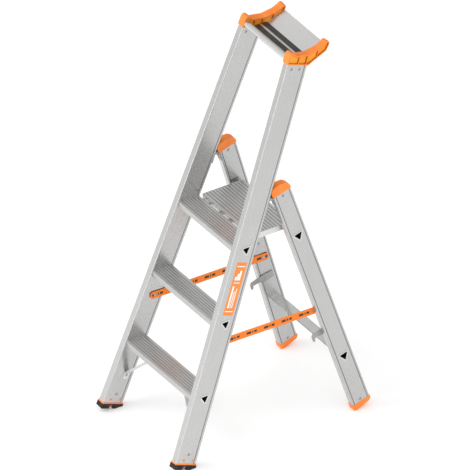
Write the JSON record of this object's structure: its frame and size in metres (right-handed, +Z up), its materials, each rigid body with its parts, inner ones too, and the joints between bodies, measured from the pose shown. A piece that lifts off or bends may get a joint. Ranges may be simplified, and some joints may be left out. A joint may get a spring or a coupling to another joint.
{
  "type": "folding step ladder",
  "caption": "Aluminium folding step ladder with grooved treads, a hinged standing platform, a high hand tube and a tool tray.",
  "frame": {"origin": "on the floor, at the middle of the open ladder's footprint", "axes": "+X to the climber's right, +Y from the climbed front to the rear frame, +Z up"},
  "size_m": [0.4428, 0.7218, 1.3347],
  "materials": {
    "aluminium": "extruded, satin",
    "orange_plastic": "moulded, fine grain",
    "black_rubber": "matte",
    "dark_inlay": "matte, ribbed",
    "orange_webbing": "woven",
    "label": "printed film",
    "zinc_steel": "zinc plated"
  },
  "bodies": {
    "front_frame": {"brace_rivets": "zinc_steel", "front_foot_rivets": "zinc_steel", "front_hand_tube": "aluminium", "hinge_lug_rivets": "zinc_steel", "left_front_foot_plug": "orange_plastic", "left_front_sole": "black_rubber", "left_front_stile": "aluminium", "left_hinge_lug": "zinc_steel", "left_hinge_pin": "zinc_steel", "left_strap": "orange_webbing", "left_tray_bracket": "orange_plastic", "left_tread_brace": "aluminium", "lower_tread": "aluminium", "middle_tread": "aluminium", "platform_hinge_rod": "zinc_steel", "right_front_foot_plug": "orange_plastic", "right_front_sole": "black_rubber", "right_front_stile": "aluminium", "right_hinge_lug": "zinc_steel", "right_hinge_pin": "zinc_steel", "right_strap": "orange_webbing", "right_tray_bracket": "orange_plastic", "right_tread_brace": "aluminium", "stile_label": "label", "strap_front_rivets": "zinc_steel", "tool_tray": "aluminium", "tray_bracket_rivets": "zinc_steel", "tray_inlays": "dark_inlay", "upper_tread": "aluminium"},
    "rear_frame": {"hinge_fork_rivets": "zinc_steel", "hook_rivets": "zinc_steel", "left_hinge_fork": "zinc_steel", "left_rear_foot": "orange_plastic", "left_rear_stile": "aluminium", "left_stile_cap": "orange_plastic", "left_transport_hook": "zinc_steel", "lower_rear_crossbar": "aluminium", "rear_crossbar_flares": "aluminium", "rear_foot_rivets": "zinc_steel", "rear_web_rivets": "zinc_steel", "right_hinge_fork": "zinc_steel", "right_rear_foot": "orange_plastic", "right_rear_stile": "aluminium", "right_stile_cap": "orange_plastic", "right_transport_hook": "zinc_steel", "stile_cap_rivets": "zinc_steel", "strap_rear_rivets": "zinc_steel", "upper_rear_crossbar": "aluminium"},
    "platform": {"platform_end_caps": "aluminium", "platform_panel": "aluminium", "platform_rest_pads": "black_rubber"}
  },
  "joints": [
    {"name": "rear_fold", "type": "hinge", "parent": "front_frame", "child": "rear_frame", "pos_m": [0, 0.03346, 0.84405], "axis": [-1, 0, 0], "range_deg": [0, 37.25], "deforming": ["left_strap", "right_strap"]},
    {"name": "platform_hinge", "type": "hinge", "parent": "front_frame", "child": "platform", "pos_m": [0, -0.02597, 0.7095], "axis": [1, 0, 0], "range_deg": [0, 69.9]}
  ]
}
